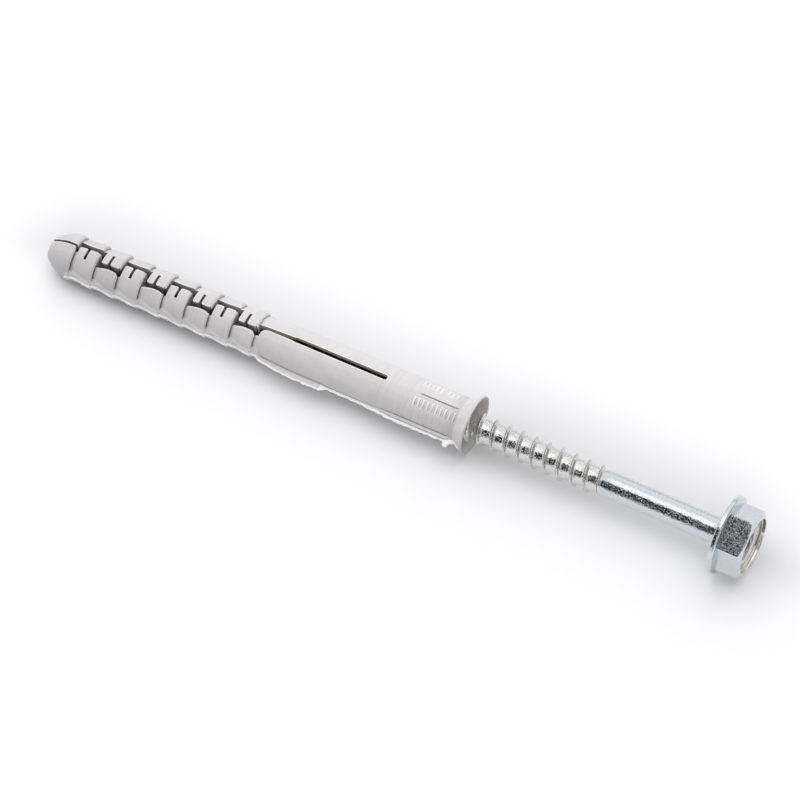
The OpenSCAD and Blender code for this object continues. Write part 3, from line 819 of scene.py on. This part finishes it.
# One flat of the hexagon is darker and grainier than the rest. Two walls of the steps in the
# dish have darker, rougher places, and the neck has the coat of the thread
PLATED, DARK_FLAT, TURNED, DULL, NECK = range(5)
flat_ring = next(k for k, (x, r) in enumerate(rings) if x is hex_foot)
outer_wall, inner_wall = flat_ring + 6, flat_ring + 8
coat_number = np.full((rows - 1, cols), PLATED, dtype=np.int32)
coat_number[flat_ring:flat_ring + 2, np.abs(degrees - 90 + 0.6) < 30] = DARK_FLAT
coat_number[flat_ring + 5:] = TURNED
coat_number[outer_wall, (degrees > 308) & (degrees < 352)] = DULL
coat_number[inner_wall, (degrees > 276) & (degrees < 336)] = DULL
coat_number[:3] = NECK
head = add_piece("screw_head", lay_screw(head_grid.reshape(-1, 3)), head_faces, sharp_angle=28,
                 merge=0.0005 * MM, finish=coat_number.ravel())
head.data.materials.append(zinc_coat("zinc_plating", (0.65, 0.68, 0.705), 0.07, 0.06, 0.58, 0.88, 4.0))
head.data.materials.append(zinc_coat("zinc_dark_flat", (0.46, 0.49, 0.53), 0.14, 0.05, 0.5, 0.14, 6.0))
head.data.materials.append(zinc_coat("zinc_turned", (0.72, 0.70, 0.65), 0.10, 0.03, 0.56, 0.8, 4.0))
head.data.materials.append(zinc_coat("zinc_dull", (0.26, 0.26, 0.25), 0.25, 0.03, 0.56, 0.4, 4.0))
head.data.materials.append(zinc_thread)
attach(head, "root")


# Floor
# Plain white paper under the fixing, a matt sheet that reaches far past the edges of the picture.
# The fixing lies loose on it.
floor_half = 6.0
floor_corners = [(-floor_half, -floor_half, 0), (floor_half, -floor_half, 0),
                 (floor_half, floor_half, 0), (-floor_half, floor_half, 0)]
floor_mesh = bpy.data.meshes.new("floor")
floor_mesh.from_pydata(floor_corners, [], [(0, 1, 2, 3)])
floor = bpy.data.objects.new("floor", floor_mesh)
bpy.context.collection.objects.link(floor)
paper, tree, shader = new_material("white_paper")
tree.nodes.remove(shader)
matt = tree.nodes.new("ShaderNodeBsdfDiffuse")


def smooth_step(tree, value, low, high, start, end):
    """A ramp that eases in and out: the smooth cubic step."""
    return ramp(tree, value, low, high, start, end, "SMOOTHSTEP")


# Painted shadow: the paper is painted a little greyer close behind the fixing and round its ends
place = tree.nodes.new("ShaderNodeTexCoord")
parts = tree.nodes.new("ShaderNodeSeparateXYZ")
tree.links.new(place.outputs["Object"], parts.inputs[0])
past_end = combine(tree, "SUBTRACT", combine(tree, "ABSOLUTE", parts.outputs["X"]), 72 * MM)
past_end = combine(tree, "MAXIMUM", past_end, 0.0)
aside = combine(tree, "ADD", combine(tree, "MULTIPLY", past_end, past_end),
                combine(tree, "MULTIPLY", parts.outputs["Y"], parts.outputs["Y"]))
close_by = smooth_step(tree, combine(tree, "SQRT", aside), 2 * MM, 30 * MM, 0.27, 0.0)
behind = smooth_step(tree, parts.outputs["Y"], -5 * MM, 5 * MM, 0.0, 1.0)
painted_shadow = combine(tree, "MULTIPLY", close_by, behind)
whiter = tree.nodes.new("ShaderNodeVectorMath")
whiter.operation = "SCALE"
whiter.inputs[0].default_value = (1.25, 1.25, 1.26)
join(tree, combine(tree, "SUBTRACT", 1.0, painted_shadow), whiter.inputs["Scale"])
# The camera and reflections see the paper white, but the light it throws back is held to mid grey
path = tree.nodes.new("ShaderNodeLightPath")
mirrored = combine(tree, "ADD", path.outputs["Is Glossy Ray"], path.outputs["Is Transmission Ray"])
tone = tree.nodes.new("ShaderNodeMix")
tone.data_type = "RGBA"
tone.inputs["A"].default_value = (0.55, 0.55, 0.56, 1)
join(tree, whiter.outputs["Vector"], tone.inputs["B"])
join(tree, combine(tree, "ADD", path.outputs["Is Camera Ray"], mirrored), tone.inputs["Factor"])
join(tree, tone.outputs["Result"], matt.inputs["Color"])
join(tree, matt.outputs[0], tree.nodes["Material Output"].inputs["Surface"])
floor.data.materials.append(paper)


# Light
# A white tent, brightest overhead and dimmer past the head end. A dark gap in front reaches from
# beside the camera towards the nose end.
tent = bpy.data.worlds.new("tent")
bpy.context.scene.world = tent
tent.use_nodes = True
tree = tent.node_tree
direction = tree.nodes.new("ShaderNodeTexCoord")
parts = tree.nodes.new("ShaderNodeSeparateXYZ")
tree.links.new(direction.outputs["Generated"], parts.inputs[0])
across, back, up = parts.outputs["X"], parts.outputs["Y"], parts.outputs["Z"]
# The gap is 1 inside, and a smooth step fades it to 0 at each of its five edges
gap = smooth_step(tree, up, 0.12, 0.28, 0.0, 1.0)
for edge_step in (smooth_step(tree, up, 0.90, 0.94, 1.0, 0.0),
                  smooth_step(tree, back, -0.33, -0.22, 1.0, 0.0),
                  smooth_step(tree, across, -0.75, -0.6, 0.0, 1.0),
                  smooth_step(tree, across, 0.05, 0.3, 1.0, 0.0)):
    gap = combine(tree, "MULTIPLY", gap, edge_step)
tent_level = combine(tree, "ADD", smooth_step(tree, up, 0.0, 0.5, 0.7, 1.1),
                     smooth_step(tree, up, 0.86, 0.95, 0.0, 0.5))
tent_level = combine(tree, "MULTIPLY", tent_level, smooth_step(tree, across, 0.1, 0.7, 1.0, 0.45))
gap_darkness = 0.96
gap_level = combine(tree, "SUBTRACT", 1.0, combine(tree, "MULTIPLY", gap, gap_darkness))
background = tree.nodes["Background"]
background.inputs["Color"].default_value = (0.985, 0.98, 1.0, 1)
join(tree, combine(tree, "MULTIPLY", tent_level, gap_level), background.inputs["Strength"])

# Plain display colours, without a film curve
bpy.context.scene.view_settings.view_transform = "Standard"
